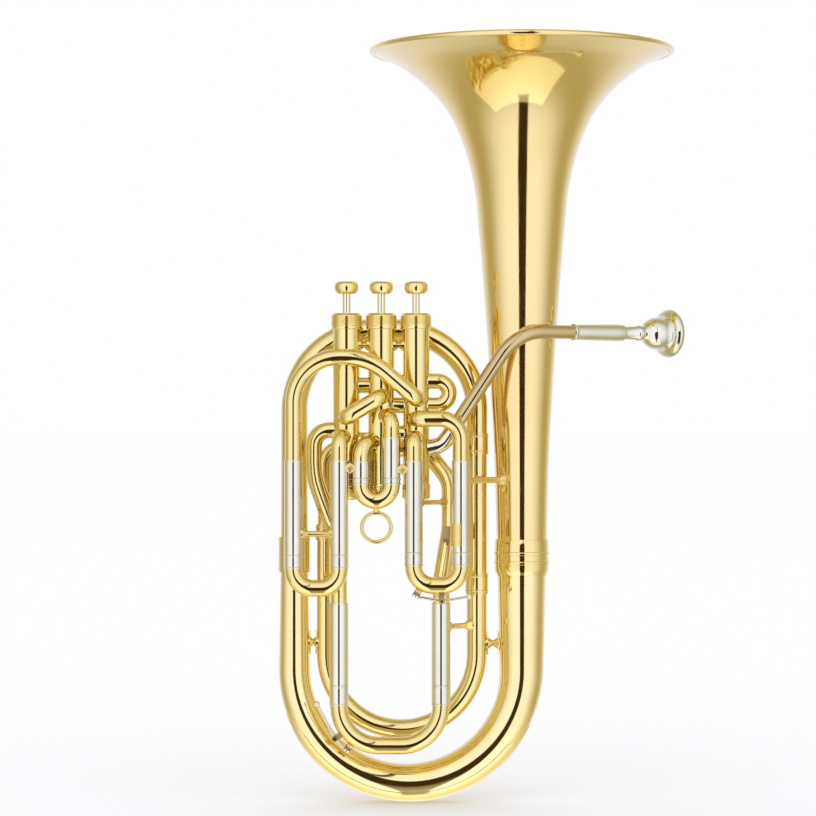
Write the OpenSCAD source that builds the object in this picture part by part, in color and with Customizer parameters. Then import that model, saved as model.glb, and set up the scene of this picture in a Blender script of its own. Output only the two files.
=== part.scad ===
// Baritone horn: a three-valve compensating baritone with a front row of slides.
// X runs to the right across the horn, Z up along the bell, Y from the player's
// slide side to the back. The origin is the lowest point of the bottom bow.

/* [Bell] */
// Distance of the bell axis from the middle of the bottom bow
bell_x = 86; // [84:1:88]
// Height of the bell rim above the bottom of the horn
bell_top = 570; // [560:1:580]
// Outer radius of the bell rim
rim_r = 115.4; // [110:0.2:120]
// Outer radius of the bell at its ferrule
throat_r = 19.1; // [18.8:0.1:19.4]
// Thickness of the bell metal
bell_wall = 0.8; // [0.6:0.1:1.2]

/* [Main bore] */
// Height of the centre of the bottom bow
bow_z = 101; // [100:1:104]
// Height at which the right and left bottom-bow legs end
bow_end_z = 187; // [186:1:188]
// Distance of the inner left leg from the middle
inner_left_x = 62; // [61.5:0.5:62.5]
// Distance of the right branch from the middle
branch_x = 52; // [51.5:0.5:52.5]
// Height of the centreline of the top bow
top_bow_z = 356.4; // [355:0.2:357]
// Bend radius of the top bow
top_bow_r = 60; // [59:0.5:60]
// Thickness of the tube metal
wall = 0.6; // [0.5:0.1:0.7]

/* [Valves] */
// Distance between neighbouring valves
valve_pitch = 26; // [26:0.1:26.4]
// Outer radius of a valve casing
casing_r = 10; // [9.8:0.1:10]
// Radius of the casing bore
casing_bore = 8.5; // [8.4:0.05:8.6]
// Radial clearance of a piston in its casing
piston_gap = 0.05; // [0.02:0.01:0.08]
// Travel of a valve
valve_travel = 13.5; // [12:0.5:13.5]

/* [Slides] */
// Outer radius of the valve tubing
tube_r = 6.1; // [6:0.05:6.1]
// Outer radius of the sliding inner legs
leg_r = 6.2; // [6.15:0.05:6.2]
// Radial clearance of a leg in its sleeve
slide_gap = 0.07; // [0.04:0.01:0.1]
// Outer radius of the outer sleeves
sleeve_r = 6.8; // [6.7:0.05:6.8]
// Outer radius of the main tuning slide's legs
tuning_leg_r = 6.5; // [6.4:0.05:6.5]

/* [Leadpipe and mouthpiece] */
// Outer radius of the leadpipe
leadpipe_r = 5.2; // [5:0.05:5.2]
// Angle by which the leadpipe leads back from the front of the horn
lead_angle = 30; // [29:0.5:31]
// Outer radius of the mouthpiece rim
rim_outer_r = 18.5; // [17.5:0.1:19]

/* [Hidden] */
$fn = 48;

// Depths of the three rows of tubes, from back to front
valve_y = -24;
slide_y = -42;

// Places of the valves, numbered from the mouthpiece side
valve_x = [6, 6 - valve_pitch, 6 - 2 * valve_pitch];
casing_z = [238, 366];
cap_top_z = 369;
piston_z = [258, 352];
button_z = 383.4;
cap_floor_z = 231.5;

// Height at which the second slide's left elbow enters its valve
second_elbow_z = 273;
// Ports of each valve: [direction in X and Y, height]
ports = [
    [[1, 0, 266], [1, 0, 300.2], [1, 0, 318], [-1, 0, 279], [-1, 0, 300], [-1, 0, 317],
     [-0.1, -1, 275.5], [0, -1, 290], [0, -1, 304.4]],
    [[1, 0, 279], [1, 0, 300], [1, 0, 317], [-1, 0, 274], [-1, 0, 315],
     [-0.83, -1, second_elbow_z], [0.42, -1, 292], [0, -1, 306.5]],
    [[1, 0, 274], [1, 0, 315], [-1, 0, 281.5], [-0.28, -1, 276.5], [0, -1, 291]]
];

// Slides: places of the left and right leg, and heights of the sleeves
tuning_x = [-51.7, 24.7];
first_x = [4.2, 39.3];
second_x = [-35, -12.5];
third_x = [-85.2, -51];
tuning_sleeve_z = [90.5, 152];
first_sleeve_z = [191, 258.7];
third_sleeve_z = [189, 259];
second_sleeve_z = [[246, 258.3], [246, 276]];
tuning_ferrule = 14.5;
valve_slide_ferrule = 10;
second_ferrule = 4.7;
// Gap that keeps a ferrule clear of its sleeve when the slide is closed
stop_gap = 0.3;
// Depth by which a tube enters the top of its sleeve
socket = 6;
// Room for solder between two pieces that fit closely, and under the saddle of a water key
solder = 0.05;
saddle_gap = 0.25;

// Last stretch of the leadpipe, and distances along it
lead_corner = [81, -40.5, 355];
lead_dir = [cos(lead_angle), sin(lead_angle), 0];
receiver_start = 49.3;
receiver_end = 94.7;
shank = 22;

// Water keys in their slide's plane: pad seat, outward direction, pivot, thumb end, foot of the
// saddle, and the bend centres of the crook below the pad and below the saddle
tuning_key = [[-43.2, 45.6], unit([-0.584, -0.811]), [-54.8, 50.6], [-68.3, 76.4], [-49.8, 53.5],
    [-22.1, 74.9], [-22.1, 74.9]];
first_key = [[8, 162.6], unit([-0.5, -0.866]), [25, 154.6], [45.5, 158], [25, 161.4],
    [18.1, 180.1], [25.4, 180.1]];
tuning_bend = 29.6;
first_bend = 13.9;
crook_r = 6.4;
tuning_crook_r = 6.6;
// Half length of a seam ring, and how far it stands out of the tube
seam = 0.45;
seam_rise = 0.05;

brass = [0.86, 0.7, 0.3];
nickel = [0.82, 0.81, 0.79];
silver = [0.86, 0.86, 0.86];
rose = [0.83, 0.6, 0.42];

// ---- Geometry helpers ----

function unit(v) = v / norm(v);
function side_of(z) = abs(z.z) < 0.9 ? unit(cross([0, 0, 1], z)) : unit(cross([0, 1, 0], z));
function frame(o, x, y, z) =
    [[x.x, y.x, z.x, o.x], [x.y, y.y, z.y, o.y], [x.z, y.z, z.z, o.z], [0, 0, 0, 1]];
function turn(p, i) = acos(unit(p[i] - p[i - 1]) * unit(p[i + 1] - p[i]));
// Length that a bend takes off the straight on each side of its corner
function cut(p, r, i) = i == 0 || i == len(p) - 1 ? 0 : r[i - 1] * tan(turn(p, i) / 2);

// A solid from a to b, children drawn along +Z and told the length by $length
module along(a, b) {
    z = unit(b - a);
    x = side_of(z);
    $length = norm(b - a);
    multmatrix(frame(a, x, cross(z, x), z)) children();
}

module rod(a, b, r) along(a, b) cylinder(h = $length, r = r);

// A round tube along corner points p, with bend radius r[i] at the inner corners.
// A thin soldered seam ring joins every bend to the straight beside it.
module bent_tube(p, r, outer, inner) {
    for (i = [0 : len(p) - 2]) {
        u = unit(p[i + 1] - p[i]);
        a = p[i] + u * cut(p, r, i);
        b = p[i + 1] - u * cut(p, r, i + 1);
        if (norm(b - a) > seam) along(a, b) ring(outer, inner, 0, $length);
    }
    for (i = [1 : 1 : len(p) - 2]) {
        u = unit(p[i] - p[i - 1]);
        v = unit(p[i + 1] - p[i]);
        n = unit(v - u * (u * v));
        c = p[i] - u * cut(p, r, i) + n * r[i - 1];
        gap = seam / 3 / r[i - 1] * 180 / PI;
        multmatrix(frame(c, -n, u, cross(-n, u))) {
            rotate([0, 0, gap]) rotate_extrude(angle = turn(p, i) - 2 * gap)
                translate([r[i - 1], 0]) difference() {
                    circle(outer);
                    circle(inner);
                }
            for (a = [0, turn(p, i)]) rotate([0, 0, a]) translate([r[i - 1], 0, 0]) rotate([-90, 0, 0])
                ring(outer + seam_rise, inner - seam_rise, -seam, seam);
        }
    }
}

module ring(outer, inner, z0, z1) translate([0, 0, z0]) difference() {
    cylinder(h = z1 - z0, r = outer);
    translate([0, 0, -1]) cylinder(h = z1 - z0 + 2, r = inner);
}

// A smooth curve through points, with steps pieces between two neighbours
function slope(p, i) = i == 0 ? unit(p[1] - p[0])
    : i == len(p) - 1 ? unit(p[i] - p[i - 1])
    : let (h0 = norm(p[i] - p[i - 1]), h1 = norm(p[i + 1] - p[i]))
        ((p[i + 1] - p[i]) / h1 * h0 + (p[i] - p[i - 1]) / h0 * h1) / (h0 + h1);
function blend_point(p, i, t) = let (h = norm(p[i + 1] - p[i]))
    p[i] * (2 * t^3 - 3 * t^2 + 1) + slope(p, i) * h * (t^3 - 2 * t^2 + t)
    + p[i + 1] * (3 * t^2 - 2 * t^3) + slope(p, i + 1) * h * (t^3 - t^2);
function smooth(p, steps) = [for (i = [0 : len(p) - 2], k = [0 : steps - 1])
    blend_point(p, i, k / steps), p[len(p) - 1]];
// The same curve moved sideways by d, to the left of its direction
function shifted(p, d) = [for (i = [0 : len(p) - 1])
    let (t = unit(p[min(i + 1, len(p) - 1)] - p[max(i - 1, 0)])) p[i] + d * [-t.y, t.x]];

// Stations along a bow in the X-Z plane: down or up one leg, round bends, and off the other leg.
// Each is [x, z, direction angle, length from the start].
function arc_stations(c, r, a0, a1, steps, s0) = [for (k = [0 : steps])
    let (a = a0 + (a1 - a0) * k / steps)
        [c.x + r * cos(a), c.y + r * sin(a), a + 90 * sign(a1 - a0), s0 + r * abs(a - a0) * PI / 180]];
function station_radius(s, table) = lookup(s, table);

// A tube of changing radius through stations; from and to bound the part of the section that is kept
module swept(st, table, sides, wall_out, wall_in, from = 0, to = 360) {
    open = to - from < 360;
    n = open ? sides + 1 : sides;
    outline = [for (s = st) let (r = station_radius(s[3], table), side = [-sin(s[2]), cos(s[2])])
        [for (w = [wall_out, -wall_in], k = [0 : n - 1])
            let (a = from + (to - from) * k / sides, q = (r + w) * cos(a))
                [s[0] + q * side.x, (r + w) * sin(a), s[1] + q * side.y]]];
    last = len(st) - 1;
    m = 2 * n;
    edge = open ? n - 2 : n - 1;
    skin = [for (j = [0 : last - 1], k = [0 : edge]) let (l = (k + 1) % n)
        each [[j * m + k, j * m + l, (j + 1) * m + l, (j + 1) * m + k],
              [(j + 1) * m + n + k, (j + 1) * m + n + l, j * m + n + l, j * m + n + k]]];
    ends = [for (k = [0 : edge]) let (l = (k + 1) % n)
        each [[k, n + k, n + l, l], [last * m + l, last * m + n + l, last * m + n + k, last * m + k]]];
    rims = open ? [for (j = [0 : last - 1])
        each [[j * m, (j + 1) * m, (j + 1) * m + n, j * m + n],
              [j * m + n - 1, j * m + m - 1, (j + 1) * m + m - 1, (j + 1) * m + n - 1]]] : [];
    polyhedron([for (o = outline) each o], concat(skin, ends, rims));
}

// A wire coil along +Z
module coil(r, wire, height, turns, per_turn = 14, sides = 6) {
    steps = turns * per_turn;
    pts = [for (i = [0 : steps], k = [0 : sides - 1])
        let (a = 360 * i / per_turn, b = 360 * k / sides, q = r + wire * cos(b))
            [q * cos(a), q * sin(a), height * i / steps + wire * sin(b)]];
    skin = [for (i = [0 : steps - 1], k = [0 : sides - 1]) let (l = (k + 1) % sides)
        [i * sides + k, i * sides + l, (i + 1) * sides + l, (i + 1) * sides + k]];
    polyhedron(pts, concat(skin, [[for (k = [sides - 1 : -1 : 0]) k],
        [for (k = [0 : sides - 1]) steps * sides + k]]));
}

module at_valve(i) translate([valve_x[i], valve_y, 0]) children();
module all_casings(r) for (i = [0 : 2]) at_valve(i)
    translate([0, 0, casing_z[0]]) cylinder(h = casing_z[1] - casing_z[0], r = r);

// ---- Bell ----

bell_span = rim_r - throat_r;
bell_bottom = 185.3;
bead_r = 2.1;
// Outer curve of the bell: [distance below the rim, share of the flare]
flare = [[370, 0], [319, 0.0135], [266, 0.0415], [208, 0.081], [137, 0.14], [105.5, 0.174],
    [76.4, 0.248], [47.5, 0.383], [33, 0.504], [20, 0.655], [12.6, 0.765], [6.6, 0.89], [3.7, 0.958]];
function bell_outer() = concat([[throat_r, bell_bottom]],
    smooth([for (f = flare) [throat_r + bell_span * f[1], bell_top - f[0]]], 4));

module bell() color(brass) translate([bell_x, 0, 0]) {
    skin = bell_outer();
    bead = [rim_r - bead_r, bell_top - bead_r * cos(7.5)];
    lip = [for (a = [-157.5 : 15 : 127.5]) bead + bead_r * [cos(a), sin(a)]];
    inner = shifted(skin, bell_wall);
    rotate_extrude($fn = 96)
        polygon(concat(skin, lip, [for (i = [len(inner) - 1 : -1 : 0]) inner[i]]));
}

module bell_ferrule() color(brass) translate([bell_x, 0, 0]) difference() {
    rotate_extrude() polygon([[17, 171.5], [18.9, 171.5], [20.5, 175.5], [20.5, 180], [21, 180.6],
        [21, 182], [20.5, 182.6], [20.5, 187], [21, 187.6], [21, 189], [20.5, 189.6], [20.2, 198.6],
        [19.8, 199], [17, 199]]);
    translate([0, 0, bell_bottom]) cylinder(h = 20, r = throat_r);
    translate([0, 0, 165]) cylinder(h = 22, r = 18.6);
}

// ---- Conical bows ----

bow_stations = concat([[bell_x, bell_bottom, -90, 0], [bell_x, 150, -90, 35.3]],
    arc_stations([0, bow_z], bell_x, 0, -180, 30, bell_bottom - bow_z),
    [[-bell_x, 150, 90, 403.5], [-bell_x, 174, 90, 427.5], [-bell_x, bow_end_z, 90, 440.5]]);
bow_table = [[0, 18.6], [63, 17.4], [110, 16], [bell_bottom - bow_z + bell_x * PI / 2, 14],
    [373, 11.4], [427.5, 10.6], [440.5, 10.5]];
bow_sides = 36;

module bottom_bow() color(brass)
    swept(bow_stations, bow_table, bow_sides, 0, wall);

// The guard covers the outside of the bow, on the same facets
module bow_guard() color(brass) {
    part = [for (i = [5 : 29]) bow_stations[i]];
    swept(part, bow_table, 12, bow_z - bell_x - 14, 0, -60, 60);
}

top_stations = concat([[-bell_x, bow_end_z, 90, 0]],
    arc_stations([top_bow_r - bell_x, top_bow_z - top_bow_r], top_bow_r, 180, 90, 16, 109.4),
    arc_stations([branch_x - top_bow_r, top_bow_z - top_bow_r], top_bow_r, 90, 0, 16, 221.6),
    [[branch_x, 271, -90, 341]]);
top_table = [[0, 10.4], [110, 10], [213, 9], [341, 7.9]];

module top_bow() color(brass) swept(top_stations, top_table, 32, 0, wall);

module right_branch() color(brass) translate([branch_x, 0, 0]) ring(7.8, 7.8 - wall, 165, 271);

inner_r = (inner_left_x + branch_x) / 2;
inner_z = 112;
inner_stations = concat([[branch_x, 165, -90, 0]],
    arc_stations([branch_x - inner_r, inner_z], inner_r, 0, -180, 30, 53),
    [[-inner_left_x, 206, 90, 326]]);
inner_table = [[0, 7.7], [326, 7]];

module inner_bow() color(brass) swept(inner_stations, inner_table, 28, 0, wall);

module branch_ferrules() color(brass) {
    translate([branch_x, 0, 0]) {
        banded_ferrule(8.8, 7.8, 8, [263, 279]);
        banded_ferrule(8.7, 7.8, 7.8, [157.5, 173]);
    }
    translate([-inner_left_x, 0, 0]) banded_ferrule(7.9, 7.05, 7.05, [198, 210]);
}

// A ferrule with a raised band near each end; its bore runs from radius low to radius high
module banded_ferrule(outer, low, high, z) rotate_extrude() polygon([[low, z[0]], [outer, z[0]],
    [outer, z[0] + 1.5], [outer + 0.4, z[0] + 1.8], [outer + 0.4, z[0] + 2.8], [outer, z[0] + 3.1],
    [outer, z[1] - 3.1], [outer + 0.4, z[1] - 2.8], [outer + 0.4, z[1] - 1.8], [outer, z[1] - 1.5],
    [outer, z[1]], [high, z[1]]]);

module left_ferrule() color(brass) translate([-bell_x, 0, 0])
    banded_ferrule(12, 10.6, 10.4, [174, 200.6]);

// ---- Cylindrical tubes behind and beside the valves ----

riser_r = 6.4;
riser_path = [[tuning_x[1], valve_y, tuning_sleeve_z[1] - socket], [tuning_x[1], valve_y, 168],
    [31.5, -19, 208], [31.5, -15, 243], [13, -6.8, 267], [-inner_left_x, -3, 268],
    [-inner_left_x, 0, 242], [-inner_left_x, 0, 206.2]];

module riser_tube() color(brass)
    bent_tube(riser_path, [40, 45, 22, 14, 13, 60], riser_r, riser_r - wall);

module s_tube() color(brass) difference() {
    bent_tube([[valve_x[2], valve_y, 281.5], [-70.5, valve_y, 281.5], [-70.5, valve_y, 246],
        [tuning_x[0], valve_y, 196], [tuning_x[0], valve_y, tuning_sleeve_z[1] - socket]],
        [12, 60, 60], tube_r, tube_r - wall);
    all_casings(casing_r);
}

lead_path = [[valve_x[0], valve_y, 266], [26, -25.5, 270.5], lead_corner,
    lead_corner + lead_dir * (receiver_start + 11.7)];

module leadpipe() color(rose) difference() {
    bent_tube(lead_path, [14, 34], leadpipe_r, leadpipe_r - wall);
    all_casings(casing_r);
}

module leadpipe_joint() color(nickel) difference() {
    end = lead_path[1] + 15 * unit(lead_path[2] - lead_path[1]);
    bent_tube([lead_path[0], lead_path[1], end], [14], leadpipe_r + 1, leadpipe_r + 3 * solder);
    all_casings(casing_r);
}

module on_leadpipe(d) along(lead_corner + lead_dir * d, lead_corner + lead_dir * (d + 1)) children();

module receiver() color(silver) on_leadpipe(receiver_start) {
    l = receiver_end - receiver_start;
    rotate_extrude() polygon([[leadpipe_r, 0], [6.1, 0], [6.3, 0.8], [6.1, 1.6], [5.8, 2.2],
        [6.5, l - 8], [6.5, l - 1], [6.1, l], [4.97, l], [4.27, l - shank], [4.1, l - shank - 0.5],
        [4.1, 11.8], [leadpipe_r, 11.8]]);
}

// Outline of the mouthpiece: shank, collar, cup, rim, then back down the cup and the bore
function mouthpiece_outline() = concat(
    [[3.3, -shank], [4.2, -shank], [4.9, 0], [5.1, 12.4], [5.7, 13], [5.9, 15], [5.7, 17], [5, 18.4]],
    smooth([[5.6, 19.6], [8.6, 22], [11.3, 26], [12.4, 31], [12.5, 35], [13.4, 37.6], [16, 38.9]], 3),
    smooth([[rim_outer_r - 1.4, 39.4], [rim_outer_r, 42], [rim_outer_r - 1, 45.2],
        [rim_outer_r - 3.4, 46.6], [13.6, 45.6], [12.8, 43.4]], 4),
    smooth([[12.6, 41], [11.6, 36], [9, 30], [5, 25.5], [3, 22]], 3),
    [[2.6, 19], [2.6, 15]]);

module mouthpiece() color(silver) on_leadpipe(receiver_end)
    rotate_extrude($fn = 72) polygon(mouthpiece_outline());

// ---- Valves ----

module port_holes(i, r, depth) for (p = ports[i])
    along([0, 0, p[2]], [0, 0, p[2]] + depth * unit([p[0], p[1], 0])) cylinder(h = $length, r = r);

module casing(i) color(brass) at_valve(i) difference() {
    ring(casing_r, casing_bore, casing_z[0], casing_z[1]);
    port_holes(i, tube_r - wall - 0.1, casing_r + 2);
}

module top_caps() color(brass) for (i = [0 : 2]) at_valve(i)
    rotate_extrude() polygon([[3.3, 366], [10, 366], [10, 357], [11, 357], [11.3, 357.6], [11.3, 359.4],
        [11.7, 359.8], [11.7, 366.8], [10.6, 368], [10.2, cap_top_z], [3.3, cap_top_z]]);

module bottom_caps() color(brass) for (i = [0 : 2]) at_valve(i)
    rotate_extrude() polygon([[0, 229.5], [9, 229.5], [10.6, 230.6], [10.9, 231.6], [10.9, 240.5],
        [10, 241], [10, 237.8], [8.6, 237.8], [8.6, cap_floor_z], [0, cap_floor_z]]);

module piston(i) color(nickel) at_valve(i) {
    difference() {
        translate([0, 0, piston_z[0]])
            cylinder(h = piston_z[1] - piston_z[0], r = casing_bore - piston_gap);
        port_holes(i, tube_r - wall - 0.1, casing_r);
        translate([0, 0, piston_z[0] - 1]) cylinder(h = 5, r = 7);
    }
    translate([0, 0, piston_z[1]]) cylinder(h = button_z - piston_z[1], r = 3);
}

module button(i) color(brass) at_valve(i) translate([0, 0, button_z]) rotate_extrude()
    polygon(concat([[0, 0.01], [6.6, 0.01]],
        smooth([[7.4, 0.5], [8.8, 2.6], [9.1, 5], [8.6, 7.6], [7.2, 9]], 4), [[6, 9.2], [5.4, 8.7], [0, 8.4]]));

module spring(i) color(silver) at_valve(i)
    translate([0, 0, cap_floor_z + 0.7]) coil(6, 0.5, piston_z[0] + 2.8 - cap_floor_z, 7);

module valve_links() color(brass) difference() {
    for (l = [[0, 279], [0, 300], [0, 317], [1, 274], [1, 315]])
        bent_tube([[valve_x[l[0]], valve_y, l[1]], [valve_x[l[0] + 1], valve_y, l[1]]],
            [], tube_r, tube_r - wall);
    rod([second_x[0], slide_y, second_elbow_z], [valve_x[1], valve_y, second_elbow_z], tube_r + solder);
    all_casings(casing_r);
}

module compensating_loop() color(brass) difference() {
    bent_tube([[valve_x[0], valve_y, 318], [30.6, valve_y, 318], [30.6, valve_y, 300.2],
        [valve_x[0], valve_y, 300.2]], [8.9, 8.9], 5.9, 5.9 - wall);
    all_casings(casing_r);
}

module front_link() color(brass) difference() {
    bent_tube([[valve_x[2], valve_y, 291], [valve_x[2], slide_y, 291],
        [valve_x[1], slide_y, 306.5], [valve_x[1], valve_y, 306.5]], [6.9, 6.9], tube_r, tube_r - wall);
    all_casings(casing_r);
}

// An elbow from a slide sleeve back into a valve
module elbow(x, z0, z1, valve, r) bent_tube([[x, slide_y, z0], [x, slide_y, z1],
    [valve_x[valve], valve_y, z1]], [r], tube_r, tube_r - wall);

module valve_elbows() color(brass) difference() {
    union() {
        elbow(first_x[0], first_sleeve_z[1] - socket, 275.5, 0, 6.9);
        elbow(second_x[0], second_sleeve_z[0][1] - 1.5, second_elbow_z, 1, 12);
        elbow(second_x[1], second_sleeve_z[1][1] - socket, 292, 1, 9);
        elbow(third_x[1], third_sleeve_z[1] - socket, 276.5, 2, 8.2);
    }
    all_casings(casing_r);
}

module first_arch() color(brass) difference() {
    bent_tube([[first_x[1], slide_y, first_sleeve_z[1] - socket], [first_x[1], slide_y, 290],
        [6.5, slide_y, 290], [valve_x[0], valve_y, 290]], [15.6, 6.9], tube_r, tube_r - wall);
    all_casings(casing_r);
}

module third_arch() color(brass) difference() {
    bent_tube([[third_x[0], slide_y, third_sleeve_z[1] - socket], [third_x[0], slide_y, 336],
        [-30, slide_y, 336], [7, slide_y, 304.4], [valve_x[0], valve_y, 304.4]],
        [34, 47, 6.9], tube_r, tube_r - wall);
    all_casings(casing_r);
}

// ---- Slides ----

module sleeve(x, y, z, leg, outer, deep = socket) translate([x, y, 0]) {
    ring(outer, leg + slide_gap, z[0], z[1] - deep);
    ring(outer, tube_r, z[1] - deep, z[1]);
    ring(outer + 0.25, outer - 0.1, z[1] - 1, z[1]);
}

// A sliding leg with its ferrule; top is the height of its upper end
module slide_leg(x, y, z, ferrule, leg, outer, top) translate([x, y, 0]) {
    ring(leg, leg - wall, z - ferrule, top);
    ring(outer, leg - 0.1, z - ferrule, z);
    for (b = [z - 1.2, z - ferrule]) ring(outer + 0.3, outer - 0.1, b, b + 1.2);
}

// A crook from the left leg round to the right leg, ending at height z
module crook(x, y, z, bottom, r, outer) bent_tube([[x[0], y, z], [x[0], y, bottom],
    [x[1], y, bottom], [x[1], y, z]], [r, r], outer, outer - wall);

module tuning_sleeves() color(nickel) {
    sleeve(tuning_x[0], valve_y, tuning_sleeve_z, tuning_leg_r, 7.1);
    translate([tuning_x[1], valve_y, 0]) {
        ring(7.1, tuning_leg_r + slide_gap, tuning_sleeve_z[0], tuning_sleeve_z[1] - socket);
        ring(7.1, riser_r, tuning_sleeve_z[1] - socket, tuning_sleeve_z[1]);
    }
}

module tuning_legs() color(nickel) for (x = tuning_x)
    slide_leg(x, valve_y, tuning_sleeve_z[0] - stop_gap, tuning_ferrule, tuning_leg_r, 7.1,
        tuning_sleeve_z[1] - socket - 3);

module tuning_crook() color(brass) difference() {
    crook(tuning_x, valve_y, tuning_sleeve_z[0] - stop_gap - tuning_ferrule, 45.3, tuning_bend, tuning_crook_r);
    key_drain(tuning_key);
}

module first_sleeves() color(nickel) for (x = first_x)
    sleeve(x, slide_y, first_sleeve_z, leg_r, sleeve_r);

module first_legs() color(nickel) for (x = first_x)
    slide_leg(x, slide_y, first_sleeve_z[0] - stop_gap, valve_slide_ferrule, leg_r, sleeve_r,
        first_sleeve_z[1] - socket - 3);

module first_crook() color(brass) difference() {
    crook(first_x, slide_y, first_sleeve_z[0] - stop_gap - valve_slide_ferrule, 166.2, first_bend, crook_r);
    key_drain(first_key);
}

module second_sleeves() color(nickel) {
    sleeve(second_x[0], slide_y, second_sleeve_z[0], leg_r, sleeve_r, 1.5);
    sleeve(second_x[1], slide_y, second_sleeve_z[1], leg_r, sleeve_r);
}

module second_legs() color(nickel) for (i = [0, 1])
    slide_leg(second_x[i], slide_y, second_sleeve_z[i][0] - stop_gap, second_ferrule, leg_r, sleeve_r,
        256);

module second_crook() color(brass)
    crook(second_x, slide_y, second_sleeve_z[0][0] - stop_gap - second_ferrule, 229.2, 11.2, crook_r);

module second_pull_ring() color(brass) translate([-23.5, slide_y, 209.3]) {
    rotate([90, 0, 0]) rotate_extrude() translate([10.8, 0]) circle(1.5, $fn = 24);
    difference() {
        translate([0, 0, 11.6]) cylinder(h = 4, r = 1.8);
        translate([-20, 0, 229.2 - 209.3]) rotate([0, 90, 0]) cylinder(h = 40, r = crook_r);
    }
}

module third_sleeves() color(nickel) for (x = third_x)
    sleeve(x, slide_y, third_sleeve_z, leg_r, sleeve_r);

module third_legs() color(nickel) for (x = third_x)
    slide_leg(x, slide_y, third_sleeve_z[0] - stop_gap, valve_slide_ferrule, leg_r, sleeve_r,
        third_sleeve_z[1] - socket - 3);

module third_crook() color(brass)
    crook(third_x, slide_y, third_sleeve_z[0] - stop_gap - valve_slide_ferrule, 164.2, 14, crook_r);

// ---- Braces ----

// A turned brace between the surfaces of two upright tubes at [x, y, radius]; it runs a little
// into both tubes, and the node takes the tubes away again
module brace(a, b, z, r) {
    d = unit([b.x - a.x, b.y - a.y, 0]);
    p = [a.x, a.y, z] + d * (a.z - 2);
    q = [b.x, b.y, z] - d * (b.z - 2);
    flare = min(6, norm(q - p) / 2 - 0.2);
    along(p, q) rotate_extrude() polygon([[0, 0], [2 * r, 0], [2 * r, 2.6], [r, flare],
        [r, $length - flare], [2 * r, $length - 2.6], [2 * r, $length], [0, $length]]);
}

// A diamond plate on an upright tube at t = [x, y, radius], facing direction angle
module diamond(t, z, angle, wide, high) translate([t.x, t.y, z]) intersection() {
    translate([0, 0, -high - 1]) cylinder(h = 2 * high + 2, r = t.z + 0.9);
    rotate([0, 0, angle]) rotate([90, 0, 90]) linear_extrude(t.z + 3)
        polygon([[-wide, 0], [0, -high], [wide, 0], [0, high]]);
}

module without(tubes) difference() {
    children();
    for (t = tubes) translate([t.x, t.y, 90]) cylinder(h = 200, r = t.z);
}

// Upright tubes that braces stand on: [x, y, outer radius there]
left_leg = [-bell_x, 0, 11.5];
inner_left = [-inner_left_x, 0, 7.2];
bow_right = [bell_x, 0, 17.4];
inner_right = [branch_x, 0, 7.8];
tuning_right = [tuning_x[1], valve_y, 7.1];
bell_leg = [bell_x, 0, 20.3];
riser_up = [31.5, -16.8, riser_r];
top_leg = [-bell_x, 0, 10.4];
first_left = [first_x[0], slide_y, sleeve_r];
first_right = [first_x[1], slide_y, sleeve_r];
third_left = [third_x[0], slide_y, sleeve_r];
third_right = [third_x[1], slide_y, sleeve_r];

module bow_braces() color(brass) without([left_leg, inner_left, bow_right, inner_right, tuning_right]) {
    brace(left_leg, inner_left, 121, 2.4);
    diamond(left_leg, 121, 0, 5, 9);
    diamond(inner_left, 121, 180, 5, 9);
    brace(inner_right, bow_right, 120, 2.4);
    diamond(inner_right, 120, 0, 5, 9);
    diamond(bow_right, 120, 180, 6, 9);
    brace(tuning_right, inner_right, 134, 2.2);
    diamond(inner_right, 134, 221, 4, 5);
}

module slide_braces() color(brass) difference() {
    without([third_left, third_right, top_leg, first_left, first_right]) {
        brace(third_left, third_right, 204.5, 2.2);
        brace(third_left, top_leg, 214, 2.2);
        brace(first_right, bell_leg, 244, 2.4);
        diamond(bell_leg, 244, 222, 6, 9);
        brace(first_left, riser_up, 227.5, 1.8);
        translate([first_x[1], slide_y, 195.5]) rotate([0, 0, 176])
            rotate_extrude(angle = 94) translate([sleeve_r - 1, 0]) square([2.4, 17]);
        translate([25.5, -40, 198]) cube([8, 6, 12]);
        translate([27, -37, 198]) cube([6, 14, 8]);
    }
    for (i = [1, 2]) rod(riser_path[i], riser_path[i + 1], riser_r + 0.15);
    translate([bell_x, 0, 0]) rotate_extrude($fn = 96)
        polygon(concat([[0, bell_bottom]], [for (q = shifted(bell_outer(), -solder)) if (q.y < 300) q],
            [[0, 300]]));
}

module valve_braces() color(brass) difference() {
    for (i = [0, 1]) brace([valve_x[i + 1], valve_y, casing_r], [valve_x[i], valve_y, casing_r], 345, 2.2);
    all_casings(casing_r);
}

// Small diamond plates that tie neighbouring sleeves
module sleeve_diamonds() color(brass) {
    sleeve_tie((third_x[1] + second_x[0]) / 2, 253.5, [third_x[1], second_x[0]]);
    sleeve_tie((second_x[1] + first_x[0]) / 2, 252.5, [second_x[1], first_x[0]]);
}

module sleeve_tie(x, z, legs) difference() {
    translate([x, slide_y - 2, z]) rotate([90, 0, 0]) linear_extrude(3.6)
        polygon([[-6, 0], [0, -4.3], [6, 0], [0, 4.3]]);
    for (l = legs) translate([l, slide_y, z - 10]) cylinder(h = 20, r = sleeve_r);
}

// ---- Water keys, each in the upright plane of its slide ----

nipple = 1.8;
pad_height = 4.2;
knuckle_r = 1.8;
function in_plane(p, y) = [p.x, y, p.y];
function key_y(k) = k == tuning_key ? valve_y : slide_y;

module key_drain(k) rod(in_plane(k[0] - k[1] * 4, key_y(k)), in_plane(k[0] + k[1], key_y(k)), 1);

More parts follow.
